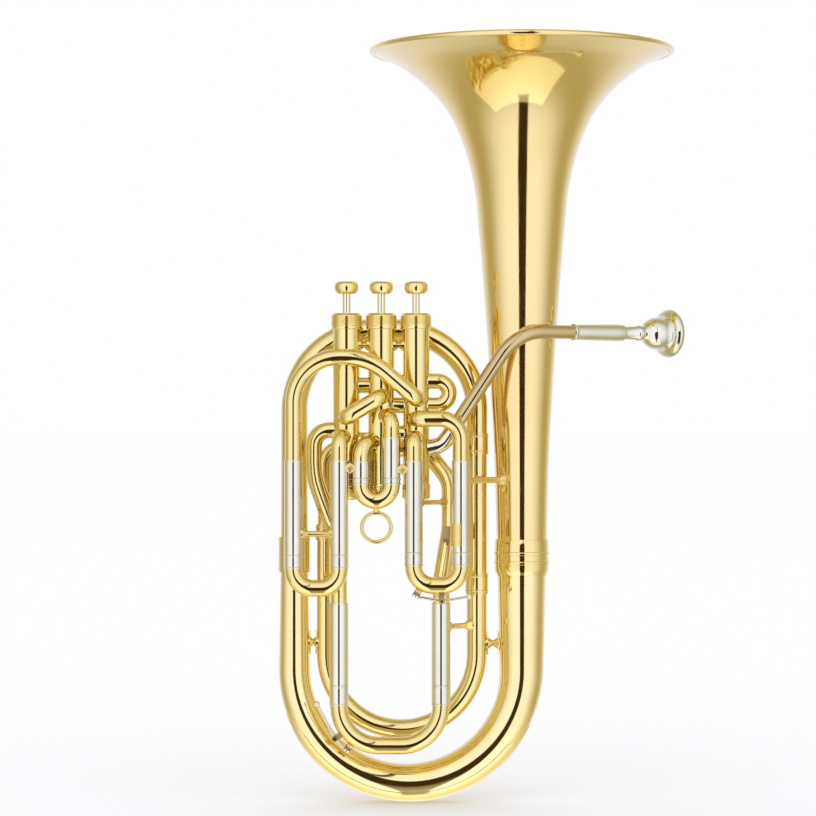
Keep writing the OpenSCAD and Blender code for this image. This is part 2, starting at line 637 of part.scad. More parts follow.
module key_saddle(k, r, bend) color(brass) difference() {
    y = key_y(k);
    union() {
        rod(in_plane(k[0] - k[1] * 0.6, y), in_plane(k[0] + k[1] * nipple, y), 2.6);
        for (s = [-3.1, 3.1]) hull() for (p = [k[2], k[4]])
            translate([p.x, y + s, p.y]) rotate([90, 0, 0])
                cylinder(h = 1.4, r = 1.9, center = true, $fn = 32);
    }
    key_drain(k);
    rod(in_plane(k[0], y), in_plane(k[0] + k[1] * 3, y), 1);
    rod(in_plane(k[2], y - 6), in_plane(k[2], y + 6), 0.8);
    // the crook that the saddle and the nipple stand on
    for (c = [k[5], k[6]]) translate(in_plane(c, y)) rotate([90, 0, 0])
        rotate_extrude() translate([bend, 0]) circle(r + saddle_gap);
}

module key_pin(k) color(silver)
    rod(in_plane(k[2], key_y(k) - 4.2), in_plane(k[2], key_y(k) + 4.2), 0.78);

module key_lever(k) color(silver) difference() {
    y = key_y(k);
    pad = in_plane(k[0] + k[1] * pad_height, y);
    arm = in_plane(k[0] + k[1] * (pad_height + 0.9), y);
    top = in_plane(k[0] + k[1] * (pad_height + 1.6), y);
    pivot = in_plane(k[2], y);
    thumb = in_plane(k[3], y);
    union() {
        rod(arm, pivot, 1.1);
        rod(pivot, thumb, 1.1);
        rod([k[2].x, y - 1.9, k[2].y], [k[2].x, y + 1.9, k[2].y], knuckle_r);
        rod(pad, top, 3);
        translate(thumb) sphere(2.2);
    }
    rod(in_plane(k[2], y - 5), in_plane(k[2], y + 5), 0.82);
    rod(in_plane(k[0], y), pad, 2.6 + solder);
}

module key_cork(k) color([0.55, 0.38, 0.22])
    rod(in_plane(k[0] + k[1] * (nipple + 0.02), key_y(k)), in_plane(k[0] + k[1] * pad_height, key_y(k)), 2.6);

// ---- The horn ----

bell();
bell_ferrule();
bottom_bow();
bow_guard();
top_bow();
right_branch();
inner_bow();
branch_ferrules();
left_ferrule();
riser_tube();
s_tube();
leadpipe();
leadpipe_joint();
receiver();
mouthpiece();
for (i = [0 : 2]) {
    casing(i);
    piston(i);
    button(i);
    spring(i);
}
top_caps();
bottom_caps();
valve_links();
compensating_loop();
front_link();
valve_elbows();
first_arch();
third_arch();
tuning_sleeves();
tuning_legs();
tuning_crook();
first_sleeves();
first_legs();
first_crook();
second_sleeves();
second_legs();
second_crook();
second_pull_ring();
third_sleeves();
third_legs();
third_crook();
valve_braces();
sleeve_diamonds();
bow_braces();
slide_braces();
key_lever(tuning_key);  // tuning_key_lever
key_cork(tuning_key);  // tuning_key_cork
key_saddle(tuning_key, tuning_crook_r, tuning_bend);  // tuning_key_saddle
key_pin(tuning_key);  // tuning_key_pin
key_lever(first_key);  // first_key_lever
key_cork(first_key);  // first_key_cork
key_saddle(first_key, crook_r, first_bend);  // first_key_saddle
key_pin(first_key);  // first_key_pin
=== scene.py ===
"""Baritone horn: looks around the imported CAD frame. Lengths in this file are millimetres in the row frame."""
import math

import bpy
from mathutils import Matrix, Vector


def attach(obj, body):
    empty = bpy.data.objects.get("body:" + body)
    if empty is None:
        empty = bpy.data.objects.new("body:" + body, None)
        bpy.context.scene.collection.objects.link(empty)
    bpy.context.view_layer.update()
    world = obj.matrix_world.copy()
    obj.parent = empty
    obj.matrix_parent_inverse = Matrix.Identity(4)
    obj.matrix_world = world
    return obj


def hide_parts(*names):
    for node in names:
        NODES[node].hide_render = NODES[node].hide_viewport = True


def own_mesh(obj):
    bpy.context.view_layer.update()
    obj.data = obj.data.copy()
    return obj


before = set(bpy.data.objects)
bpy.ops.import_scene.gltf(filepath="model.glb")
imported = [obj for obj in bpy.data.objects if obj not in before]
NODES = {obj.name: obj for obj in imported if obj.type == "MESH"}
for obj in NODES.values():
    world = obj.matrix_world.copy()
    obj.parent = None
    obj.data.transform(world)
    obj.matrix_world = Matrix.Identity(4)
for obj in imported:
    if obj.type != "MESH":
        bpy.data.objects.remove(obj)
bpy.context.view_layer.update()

MM = 0.001
HORN = "horn"

# ---------------------------------------------------------------- dimensions

VALVE_Y, SLIDE_Y = -24.0, -42.0
VALVE_X = (6.0, -20.0, -46.0)
CASING_R = 10.0
TUBE_R, WALL = 6.1, 0.6
BELL_X, BELL_TOP, BELL_BOTTOM = 86.0, 570.0, 185.3
RIM_R, THROAT_R, BELL_WALL, BEAD_R = 115.4, 19.1, 0.8, 2.1
BOW_Z, BOW_END_Z = 101.0, 187.0
TOP_Z, TOP_R = 356.4, 60.0
BRANCH_X, INNER_X = 52.0, 62.0
TUNING_X, FIRST_X, SECOND_X, THIRD_X = (-51.7, 24.7), (4.2, 39.3), (-35.0, -12.5), (-85.2, -51.0)
SOCKET, SHORT_SOCKET, STOP_GAP, SLIDE_GAP = 6.0, 1.5, 0.3, 0.07
LEAD_ANGLE = math.radians(30)
LEAD_CORNER = Vector((81.0, -40.5, 355.0))
LEAD_DIR = Vector((math.cos(LEAD_ANGLE), math.sin(LEAD_ANGLE), 0))
RECEIVER_START, RECEIVER_END, SHANK = 49.3, 94.7, 22.0

# ---------------------------------------------------------------- materials


def node(tree, kind, **inputs):
    n = tree.nodes.new(kind)
    for k, v in inputs.items():
        n.inputs[k.replace("_", " ")].default_value = v
    return n


def metal(name, light, deep, rough, coat, tarnish=0.35):
    """A polished metal: slow colour drift, faint polishing lines, small scratches and a clear lacquer."""
    m = bpy.data.materials.new(name)
    m.use_nodes = True
    t = m.node_tree
    t.nodes.clear()
    out = t.nodes.new("ShaderNodeOutputMaterial")
    b = node(t, "ShaderNodeBsdfPrincipled", Metallic=1.0, IOR=1.5, Coat_Weight=coat, Coat_Roughness=0.02)
    place = t.nodes.new("ShaderNodeTexCoord")

    drift = node(t, "ShaderNodeTexNoise", Scale=14.0, Detail=3.0, Roughness=0.6)
    ramp = t.nodes.new("ShaderNodeValToRGB")
    ramp.color_ramp.elements[0].position = 0.3
    ramp.color_ramp.elements[0].color = (*[d * tarnish + l * (1 - tarnish) for l, d in zip(light, deep)], 1)
    ramp.color_ramp.elements[1].position = 0.62
    ramp.color_ramp.elements[1].color = (*light, 1)
    t.links.new(place.outputs["Object"], drift.inputs["Vector"])
    t.links.new(drift.outputs["Fac"], ramp.inputs["Fac"])
    t.links.new(ramp.outputs["Color"], b.inputs["Base Color"])

    smear = node(t, "ShaderNodeTexNoise", Scale=60.0, Detail=4.0, Roughness=0.55)
    span = node(t, "ShaderNodeMapRange", From_Min=0.35, From_Max=0.75, To_Min=rough * 0.7, To_Max=rough * 1.5)
    t.links.new(place.outputs["Object"], smear.inputs["Vector"])
    t.links.new(smear.outputs["Fac"], span.inputs["Value"])
    t.links.new(span.outputs["Result"], b.inputs["Roughness"])

    fine = node(t, "ShaderNodeTexNoise", Scale=900.0, Detail=2.0, Roughness=0.5)
    bump = node(t, "ShaderNodeBump", Strength=0.012, Distance=0.0004)
    t.links.new(place.outputs["Object"], fine.inputs["Vector"])
    t.links.new(fine.outputs["Fac"], bump.inputs["Height"])
    t.links.new(bump.outputs["Normal"], b.inputs["Normal"])
    t.links.new(b.outputs["BSDF"], out.inputs["Surface"])
    return m


BRASS = metal("lacquered_brass", (0.89, 0.715, 0.26), (0.79, 0.56, 0.15), 0.075, 0.3)
BELL = metal("bell_brass", (0.90, 0.70, 0.27), (0.84, 0.58, 0.18), 0.085, 0.3)
# the bottom bow and its guard get a paler copy of the tube brass: a painted highlight that makes the bow read
# brighter than the other tubes
BOW_BRASS_PAINTED_HIGHLIGHT = metal("bow_brass_painted_highlight", (0.96, 0.78, 0.33), (0.86, 0.62, 0.18), 0.07, 0.3)
NICKEL = metal("nickel_silver", (0.83, 0.77, 0.53), (0.62, 0.58, 0.44), 0.08, 0.0)
SILVER = metal("silver_plate", (0.80, 0.76, 0.54), (0.66, 0.62, 0.46), 0.06, 0.0)
STEM = metal("piston_stem", (0.92, 0.82, 0.52), (0.8, 0.68, 0.4), 0.12, 0.0)
PLATE = metal("brushed_brass", (0.90, 0.68, 0.22), (0.80, 0.54, 0.13), 0.3, 0.0)
ROSE = metal("rose_brass", (0.66, 0.49, 0.20), (0.52, 0.35, 0.13), 0.08, 0.2)
STEEL = metal("spring_steel", (0.62, 0.62, 0.63), (0.4, 0.4, 0.42), 0.2, 0.0)


def cork_material():
    m = bpy.data.materials.new("cork")
    m.use_nodes = True
    t = m.node_tree
    b = t.nodes["Principled BSDF"]
    b.inputs["Roughness"].default_value = 0.85
    place = t.nodes.new("ShaderNodeTexCoord")
    grains = node(t, "ShaderNodeTexVoronoi", Scale=1400.0)
    ramp = t.nodes.new("ShaderNodeValToRGB")
    ramp.color_ramp.elements[0].color = (0.46, 0.27, 0.13, 1)
    ramp.color_ramp.elements[1].color = (0.24, 0.12, 0.05, 1)
    ramp.color_ramp.elements[1].position = 0.8
    bump = node(t, "ShaderNodeBump", Strength=0.5, Distance=0.0002)
    t.links.new(place.outputs["Object"], grains.inputs["Vector"])
    t.links.new(grains.outputs["Distance"], ramp.inputs["Fac"])
    t.links.new(ramp.outputs["Color"], b.inputs["Base Color"])
    t.links.new(grains.outputs["Distance"], bump.inputs["Height"])
    t.links.new(bump.outputs["Normal"], b.inputs["Normal"])
    return m


CORK = cork_material()

# ---------------------------------------------------------------- mesh helpers


def make(name, verts, faces, material, body, slot, replaced=(), crease=32.0):
    """A mesh piece in millimetres, smooth except at edges sharper than crease degrees."""
    mesh = bpy.data.meshes.new(name)
    mesh.from_pydata([tuple(c * MM for c in v) for v in verts], [], faces)
    mesh.validate()
    mesh.update()
    mesh.shade_smooth()
    mesh.set_sharp_from_angle(angle=math.radians(crease))
    mesh.materials.append(material)
    o = bpy.data.objects.new(name, mesh)
    bpy.context.scene.collection.objects.link(o)
    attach(o, body)
    if replaced:
        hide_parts(*replaced)
    return o


class Parts:
    """Vertices and faces gathered from several shapes into one piece."""

    def __init__(self):
        self.verts, self.faces = [], []

    def add(self, verts, faces):
        n = len(self.verts)
        self.verts += [tuple(v) for v in verts]
        self.faces += [tuple(i + n for i in f) for f in faces]


def basis(direction):
    """A right-handed frame whose Z runs along direction."""
    z = Vector(direction).normalized()
    x = (Vector((0, 0, 1)).cross(z) if abs(z.z) < 0.9 else Vector((0, 1, 0)).cross(z)).normalized()
    return x, z.cross(x), z


def lathe(profile, origin=(0, 0, 0), toward=(0, 0, 1), sides=64, closed=True):
    """Turned shape: profile of (radius, height) going once round the section.

    A radius of 0 is on the axis. closed False leaves the two ends of the profile unjoined.
    """
    o = Vector(origin)
    x, y, z = basis(toward)
    if tuple(toward) == (0, 0, 1):
        x, y = Vector((1, 0, 0)), Vector((0, 1, 0))
    verts, rings = [], []
    for r, h in profile:
        if r < 1e-6:
            rings.append([len(verts)])
            verts.append(o + z * h)
        else:
            rings.append(list(range(len(verts), len(verts) + sides)))
            for k in range(sides):
                a = 2 * math.pi * k / sides
                verts.append(o + (x * math.cos(a) + y * math.sin(a)) * r + z * h)
    faces = []
    pairs = list(zip(rings, rings[1:] + ([rings[0]] if closed else [])))
    for p, q in pairs:
        if len(p) == 1 and len(q) == 1:
            continue
        for k in range(sides):
            l = (k + 1) % sides
            if len(p) == 1:
                faces.append((p[0], q[l], q[k]))
            elif len(q) == 1:
                faces.append((p[k], p[l], q[0]))
            else:
                faces.append((p[k], p[l], q[l], q[k]))
    return verts, faces


def bend_path(corners, radii, step=6.0):
    """Points along corner points with rounded bends, step degrees apart in a bend."""
    p = [Vector(c) for c in corners]
    pts = [p[0]]
    for i in range(1, len(p) - 1):
        u, v = (p[i] - p[i - 1]).normalized(), (p[i + 1] - p[i]).normalized()
        turn = u.angle(v)
        if turn < 1e-4:
            continue
        r = radii[i - 1]
        n = (v - u * u.dot(v)).normalized()
        start = p[i] - u * r * math.tan(turn / 2)
        centre = start + n * r
        count = max(3, int(math.degrees(turn) / step + 0.5))
        for k in range(count + 1):
            a = turn * k / count
            pts.append(centre + (-n * math.cos(a) + u * math.sin(a)) * r)
    pts.append(p[-1])
    out = [pts[0]]
    for q in pts[1:]:
        if (q - out[-1]).length > 0.02:
            out.append(q)
    return out


def directions(pts):
    """Tangent at each point of a path."""
    out = []
    for i in range(len(pts)):
        a, b = pts[max(i - 1, 0)], pts[min(i + 1, len(pts) - 1)]
        d0 = (pts[i] - a).normalized() if i else (b - pts[i]).normalized()
        d1 = (b - pts[i]).normalized() if i < len(pts) - 1 else d0
        out.append((d0 + d1).normalized())
    return out


def sweep(pts, outer, inner=None, sides=40, round_ends=False):
    """A tube along a path, solid if inner is None.

    outer and inner are radii, or lists with one radius per point.
    """
    tan = directions(pts)
    n0 = tan[0].orthogonal().normalized()
    out_r = outer if isinstance(outer, list) else [outer] * len(pts)
    in_r = None if inner is None else inner if isinstance(inner, list) else [inner] * len(pts)
    frames, n = [], n0
    for i, t in enumerate(tan):
        if i:
            n = (n - t * n.dot(t)).normalized()
        frames.append((n.copy(), t.cross(n)))
    verts, faces = [], []

    def ring(i, r):
        a, b = frames[i]
        start = len(verts)
        for k in range(sides):
            w = 2 * math.pi * k / sides
            verts.append(pts[i] + (a * math.cos(w) + b * math.sin(w)) * r)
        return start

    outer_rings = [ring(i, out_r[i]) for i in range(len(pts))]

    def band(p, q, flip=False):
        for k in range(sides):
            l = (k + 1) % sides
            f = (p + k, p + l, q + l, q + k)
            faces.append(f[::-1] if flip else f)

    for p, q in zip(outer_rings, outer_rings[1:]):
        band(p, q)
    if in_r is None:
        faces.append(tuple(outer_rings[0] + k for k in range(sides - 1, -1, -1)))
        faces.append(tuple(outer_rings[-1] + k for k in range(sides)))
    else:
        inner_rings = [ring(i, in_r[i]) for i in range(len(pts))]
        for p, q in zip(inner_rings, inner_rings[1:]):
            band(p, q, True)
        band(outer_rings[0], inner_rings[0], True)
        band(outer_rings[-1], inner_rings[-1])
    return verts, faces


def hermite(points, steps):
    """The smooth curve through points that the CAD uses."""
    p = [Vector(q) for q in points]

    def slope(i):
        if i == 0:
            return (p[1] - p[0]).normalized()
        if i == len(p) - 1:
            return (p[i] - p[i - 1]).normalized()
        h0, h1 = (p[i] - p[i - 1]).length, (p[i + 1] - p[i]).length
        return ((p[i + 1] - p[i]) / h1 * h0 + (p[i] - p[i - 1]) / h0 * h1) / (h0 + h1)

    out = []
    for i in range(len(p) - 1):
        h = (p[i + 1] - p[i]).length
        a, b = slope(i), slope(i + 1)
        for k in range(steps):
            t = k / steps
            out.append(p[i] * (2 * t**3 - 3 * t**2 + 1) + a * h * (t**3 - 2 * t**2 + t)
                       + p[i + 1] * (3 * t**2 - 2 * t**3) + b * h * (t**3 - t**2))
    return out + [p[-1]]


def lookup(s, table):
    """Value at s in a table of (position, value), level past both of its ends."""
    if s <= table[0][0]:
        return table[0][1]
    for (s0, r0), (s1, r1) in zip(table, table[1:]):
        if s <= s1:
            return r0 + (r1 - r0) * (s - s0) / (s1 - s0)
    return table[-1][1]


def lengths(pts):
    """Distance along a path at each of its points."""
    out = [0.0]
    for a, b in zip(pts, pts[1:]):
        out.append(out[-1] + (b - a).length)
    return out


# ---------------------------------------------------------------- bell

FLARE = [(370, 0), (319, 0.0135), (266, 0.0415), (208, 0.081), (137, 0.14), (105.5, 0.174), (76.4, 0.248),
         (47.5, 0.383), (33, 0.504), (20, 0.655), (12.6, 0.765), (6.6, 0.89), (3.7, 0.958)]


def bell():
    curve = hermite([(THROAT_R + (RIM_R - THROAT_R) * f, BELL_TOP - d) for d, f in FLARE], 10)
    skin = [Vector((THROAT_R, BELL_BOTTOM))] + curve
    inner = []
    for i, q in enumerate(skin):
        t = (skin[min(i + 1, len(skin) - 1)] - skin[max(i - 1, 0)]).normalized()
        inner.append(q + Vector((-t.y, t.x)) * BELL_WALL)
    turn = 7.5  # degrees between two points of the rolled rim
    centre = Vector((RIM_R - BEAD_R, BELL_TOP - BEAD_R * math.cos(math.radians(turn))))
    lip = [centre + BEAD_R * Vector((math.cos(a), math.sin(a)))
           for a in [math.radians(turn * (k - 21)) for k in range(39)]]
    profile = [tuple(v) for v in skin + lip + inner[::-1]]
    make("bell_shell", *lathe(profile, (BELL_X, 0, 0), sides=192), BELL, HORN, "bell_brass", ["bell"],
         crease=50)


bell()


def banded(profile, x):
    """An upright turned ring around the line at x."""
    return lathe(profile, (x, 0, 0), sides=96)


BELL_COLLAR = [
    (19.12, 171.5), (19.0, 171.7), (19.1, 172.2), (20.5, 175.5), (20.5, 180), (20.9, 180.3), (21, 180.8),
    (21, 181.8), (20.9, 182.3), (20.5, 182.6), (20.5, 187), (20.9, 187.3), (21, 187.8), (21, 188.8),
    (20.9, 189.3), (20.5, 189.6), (20.3, 195), (20.2, 198.2), (19.9, 198.9), (19.4, 199), (19.12, 199)]
make("bell_collar", *banded(BELL_COLLAR, BELL_X), BRASS, HORN, "tube_brass", ["bell_ferrule"])

# ---------------------------------------------------------------- conical bows


def arc(cx, cz, r, a0, a1, steps):
    """Points of an arc in the XZ plane from angle a0 to a1 in degrees."""
    return [Vector((cx + r * math.cos(math.radians(a0 + (a1 - a0) * k / steps)), 0,
                    cz + r * math.sin(math.radians(a0 + (a1 - a0) * k / steps)))) for k in range(steps + 1)]


# outer radius against the distance along the bow; the fourth row is its lowest point
BOW_TABLE = [(0, 18.6), (63, 17.4), (110, 16), (BELL_BOTTOM - BOW_Z + BELL_X * math.pi / 2, 14),
             (373, 11.4), (427.5, 10.6), (440.5, 10.5)]
bow_pts = [Vector((BELL_X, 0, BELL_BOTTOM)), Vector((BELL_X, 0, 150))] + arc(0, BOW_Z, BELL_X, 0, -180, 72) \
    + [Vector((-BELL_X, 0, z)) for z in (150, 174, BOW_END_Z)]
bow_s = lengths(bow_pts)


def conical(name, pts, table, material, replaced, slot="tube_brass", sides=64):
    s = lengths(pts)
    r = [lookup(q, table) for q in s]
    make(name, *sweep(pts, r, [q - WALL for q in r], sides), material, HORN, slot, replaced)


# the bow is drawn in the paler brass, a painted highlight
conical("bow_shell", bow_pts, BOW_TABLE, BOW_BRASS_PAINTED_HIGHLIGHT, ["bottom_bow"])


def guard():
    """A thin plate over the outside of the bow, pointed at both ends, thinner along its edges."""
    verts, faces = [], []
    first, last, across = 12, 66, 24  # first and last point of the bow's path, strips over the width
    thick, half_width, taper = 0.98, math.radians(60), 6.0  # taper in points of the path
    rows = []
    for i in range(first, last + 1):
        p = bow_pts[i]
        out = Vector((p.x, 0, p.z - BOW_Z)).normalized()
        r = lookup(bow_s[i], BOW_TABLE)
        share = min(1.0, min(i - first, last - i) / taper)
        half = half_width * (0.25 + 0.75 * math.sin(share * math.pi / 2))
        row = []
        for k in range(across + 1):
            a = -half + 2 * half * k / across
            edge = min(1.0, 3.0 * min(k, across - k) / across + 0.35)
            for h in (thick * min(edge, 0.35 + 0.65 * share), 0.0):
                row.append(len(verts))
                verts.append(p + out * (r + h) * math.cos(a) + Vector((0, 1, 0)) * (r + h) * math.sin(a))
        rows.append(row)
    for p, q in zip(rows, rows[1:]):
        for k in range(across):
            a, b = 2 * k, 2 * k + 2
            faces.append((p[a], p[b], q[b], q[a]))
            faces.append((p[a + 1], q[a + 1], q[b + 1], p[b + 1]))
        faces.append((p[0], q[0], q[1], p[1]))
        e = 2 * across
        faces.append((p[e], p[e + 1], q[e + 1], q[e]))
    for row, flip in ((rows[0], False), (rows[-1], True)):
        for k in range(across):
            f = (row[2 * k], row[2 * k + 1], row[2 * k + 3], row[2 * k + 2])
            faces.append(f[::-1] if flip else f)
    make("bow_guard_plate", verts, faces, BOW_BRASS_PAINTED_HIGHLIGHT, HORN, "tube_brass", ["bow_guard"])


guard()

BRANCH_Z = (165, 271)

top_pts = [Vector((-BELL_X, 0, BOW_END_Z))] + arc(TOP_R - BELL_X, TOP_Z - TOP_R, TOP_R, 180, 90, 30) \
    + arc(BRANCH_X - TOP_R, TOP_Z - TOP_R, TOP_R, 90, 0, 30) + [Vector((BRANCH_X, 0, BRANCH_Z[1]))]
conical("top_bow_shell", top_pts, [(0, 10.4), (110, 10), (213, 9), (341, 7.9)], BRASS, ["top_bow"])

inner_r = (INNER_X + BRANCH_X) / 2
inner_pts = [Vector((BRANCH_X, 0, BRANCH_Z[0]))] + arc(BRANCH_X - inner_r, 112, inner_r, 0, -180, 60) \
    + [Vector((-INNER_X, 0, 206))]
conical("inner_bow_shell", inner_pts, [(0, 7.7), (326, 7)], BRASS, ["inner_bow"])
branch = [(7.8, BRANCH_Z[0]), (7.8, BRANCH_Z[1]), (7.2, BRANCH_Z[1]), (7.2, BRANCH_Z[0])]
make("right_branch_tube", *lathe(branch, (BRANCH_X, 0, 0)), BRASS, HORN, "tube_brass", ["right_branch"])


def ferrule_profile(outer, low, high, z0, z1):
    """A ferrule from z0 to z1 with two raised bands. low and high are the bores at its two ends."""
    out = [(low, z0), (outer - 0.15, z0), (outer, z0 + 0.2)]
    for a in (z0 + 1.5, z1 - 3.1):
        out += [(outer, a), (outer + 0.28, a + 0.25), (outer + 0.4, a + 0.55), (outer + 0.4, a + 1.05),
                (outer + 0.28, a + 1.35), (outer, a + 1.6)]
    return out + [(outer, z1 - 0.2), (outer - 0.15, z1), (high, z1)]


rings = Parts()
for x, f in ((BRANCH_X, (8.8, 7.8, 8, 263, 279)),
             (BRANCH_X, (8.7, 7.8, 7.8, 157.5, 173)),
             (-INNER_X, (7.9, 7.05, 7.05, 198, 210))):
    rings.add(*banded(ferrule_profile(*f), x))
make("branch_collars", rings.verts, rings.faces, BRASS, HORN, "tube_brass", ["branch_ferrules"])
make("left_collar", *banded(ferrule_profile(12, 10.6, 10.4, 174, 200.6), -BELL_X), BRASS, HORN,
     "tube_brass", ["left_ferrule"])

# ---------------------------------------------------------------- cylindrical tubes


TUBE_SIDES = 48


def to_casing(pts, first=None, last=None):
    """Shortens a path so that it ends just inside the casing it enters."""
    keep = CASING_R - 1.0
    out = list(pts)
    for at_end, valve in ((False, first), (True, last)):
        if valve is None:
            continue
        axis = Vector((VALVE_X[valve], VALVE_Y))
        q = out[::-1] if at_end else out
        while len(q) > 2 and (Vector(q[1].xy) - axis).length < keep:
            q.pop(0)
        a, b = q[0], q[1]
        lo, hi = 0.0, 1.0
        for _ in range(30):
            mid = (lo + hi) / 2
            if (Vector(a.lerp(b, mid).xy) - axis).length < keep:
                lo = mid
            else:
                hi = mid
        q[0] = a.lerp(b, hi)
        out = q[::-1] if at_end else q
    return out


def tube(name, corners, radii, replaced, first=None, last=None, r=TUBE_R, material=BRASS, slot="tube_brass"):
    """A soldered tube. first and last are the valves, if any, that its two ends enter."""
    pts = to_casing(bend_path(corners, radii), first, last)
    make(name, *sweep(pts, r, r - WALL, TUBE_SIDES), material, HORN, slot, replaced)


TUNING_SLEEVE, FIRST_SLEEVE, THIRD_SLEEVE = (90.5, 152.0), (191.0, 258.7), (189.0, 259.0)
SECOND_SLEEVE = ((246.0, 258.3), (246.0, 276.0))

RISER_R = 6.4
tube("riser_pipe", [(TUNING_X[1], VALVE_Y, TUNING_SLEEVE[1] - SOCKET), (TUNING_X[1], VALVE_Y, 168),
     (31.5, -19, 208), (31.5, -15, 243), (13, -6.8, 267), (-INNER_X, -3, 268), (-INNER_X, 0, 242),
     (-INNER_X, 0, 206.2)], [40, 45, 22, 14, 13, 60], ["riser_tube"], r=RISER_R)
tube("s_pipe", [(VALVE_X[2], VALVE_Y, 281.5), (-70.5, VALVE_Y, 281.5), (-70.5, VALVE_Y, 246),
     (TUNING_X[0], VALVE_Y, 196), (TUNING_X[0], VALVE_Y, TUNING_SLEEVE[1] - SOCKET)], [12, 60, 60],
     ["s_tube"], first=2)

lead_path = [Vector((VALVE_X[0], VALVE_Y, 266)), Vector((26, -25.5, 270.5)), LEAD_CORNER,
             LEAD_CORNER + LEAD_DIR * (RECEIVER_START + 11.7)]
tube("leadpipe_tube", lead_path, [14, 34], ["leadpipe"], first=0, r=5.2, material=ROSE, slot="rose_brass")
joint_end = lead_path[1] + 15 * (lead_path[2] - lead_path[1]).normalized()
joint_pts = to_casing(bend_path([lead_path[0], lead_path[1], joint_end], [14]), first=0)
joint_r = [6.2] * (len(joint_pts) - 1) + [6.05]
make("leadpipe_sleeve", *sweep(joint_pts, joint_r, 5.25, TUBE_SIDES), NICKEL, HORN, "nickel_silver",
     ["leadpipe_joint"])

tube("compensating_pipe", [(VALVE_X[0], VALVE_Y, 318), (30.6, VALVE_Y, 318), (30.6, VALVE_Y, 300.2),
     (VALVE_X[0], VALVE_Y, 300.2)], [8.9, 8.9], ["compensating_loop"], first=0, last=0, r=5.9)
tube("front_link_pipe", [(VALVE_X[2], VALVE_Y, 291), (VALVE_X[2], SLIDE_Y, 291), (VALVE_X[1], SLIDE_Y, 306.5),
     (VALVE_X[1], VALVE_Y, 306.5)], [6.9, 6.9], ["front_link"], first=2, last=1)
tube("first_arch_pipe", [(FIRST_X[1], SLIDE_Y, FIRST_SLEEVE[1] - SOCKET), (FIRST_X[1], SLIDE_Y, 290),
     (6.5, SLIDE_Y, 290), (VALVE_X[0], VALVE_Y, 290)], [15.6, 6.9], ["first_arch"], last=0)
tube("third_arch_pipe", [(THIRD_X[0], SLIDE_Y, THIRD_SLEEVE[1] - SOCKET), (THIRD_X[0], SLIDE_Y, 336),
     (-30, SLIDE_Y, 336), (7, SLIDE_Y, 304.4), (VALVE_X[0], VALVE_Y, 304.4)], [34, 47, 6.9],
     ["third_arch"], last=0)

elbows = Parts()
for x, z0, z1, valve, r in ((FIRST_X[0], FIRST_SLEEVE[1] - SOCKET, 275.5, 0, 6.9),
                            (SECOND_X[0], SECOND_SLEEVE[0][1] - SHORT_SOCKET, 273, 1, 12),
                            (SECOND_X[1], SECOND_SLEEVE[1][1] - SOCKET, 292, 1, 9),
                            (THIRD_X[1], THIRD_SLEEVE[1] - SOCKET, 276.5, 2, 8.2)):
    pts = bend_path([(x, SLIDE_Y, z0), (x, SLIDE_Y, z1), (VALVE_X[valve], VALVE_Y, z1)], [r])
    elbows.add(*sweep(to_casing(pts, last=valve), TUBE_R, TUBE_R - WALL, TUBE_SIDES))
make("valve_elbow_pipes", elbows.verts, elbows.faces, BRASS, HORN, "tube_brass", ["valve_elbows"])

LINK_REACH = 9  # from a valve's axis to the end of a link, inside the casing's wall
links = Parts()
for v, z in ((0, 279), (0, 300), (0, 317), (1, 274), (1, 315)):
    pts = [Vector((VALVE_X[v] - LINK_REACH, VALVE_Y, z)), Vector((VALVE_X[v + 1] + LINK_REACH, VALVE_Y, z))]
    links.add(*sweep(pts, TUBE_R, TUBE_R - WALL, TUBE_SIDES))
make("valve_link_pipes", links.verts, links.faces, BRASS, HORN, "tube_brass", ["valve_links"])

# ---------------------------------------------------------------- valves

BUTTON_Z, PISTON_FOOT_Z, CAP_FLOOR_Z = 383.4, 258, 231.5
SPRING_R, SPRING_WIRE, SPRING_TURNS = 6, 0.49, 7

caps, bases = Parts(), Parts()
for x in VALVE_X:
    top = [(3.3, 366), (10, 366), (10, 357), (10.9, 357), (11.2, 357.3), (11.3, 357.8), (11.3, 359.2),
           (11.4, 359.5), (11.65, 359.8), (11.7, 360.2)]
    for z in [360.6 + 0.75 * k for k in range(8)]:
        top += [(11.7, z), (11.52, z + 0.2), (11.52, z + 0.36), (11.7, z + 0.56)]
    top += [(11.7, 366.7), (11.6, 367.1), (11.1, 367.7), (10.6, 368.1), (10.3, 368.5), (10.1, 368.85),
            (9.7, 369), (4.4, 369), (4.2, 368.8), (3.3, 368.8)]
    caps.add(*lathe(top, (x, VALVE_Y, 0), sides=96))
    base = [(0, 229.5), (2.6, 229.5), (3.0, 229.7), (8.6, 229.7), (9, 229.5), (9.6, 229.8), (10.4, 230.5),
            (10.8, 231.2), (10.9, 231.8)]
    for z in [232.2 + 0.75 * k for k in range(7)]:
        base += [(10.9, z), (10.74, z + 0.2), (10.74, z + 0.36), (10.9, z + 0.56)]
    base += [(10.9, 238.6), (10.7, 238.9), (10.7, 239.3), (10.9, 239.6), (10.9, 240.4), (10.6, 240.9),
             (10, 241), (10, 237.8), (8.6, 237.8), (8.6, CAP_FLOOR_Z), (0, CAP_FLOOR_Z)]
    bases.add(*lathe(base, (x, VALVE_Y, 0), sides=96, closed=False))
make("top_cap_set", caps.verts, caps.faces, BRASS, HORN, "tube_brass", ["top_caps"])
make("bottom_cap_set", bases.verts, bases.faces, BRASS, HORN, "tube_brass", ["bottom_caps"])

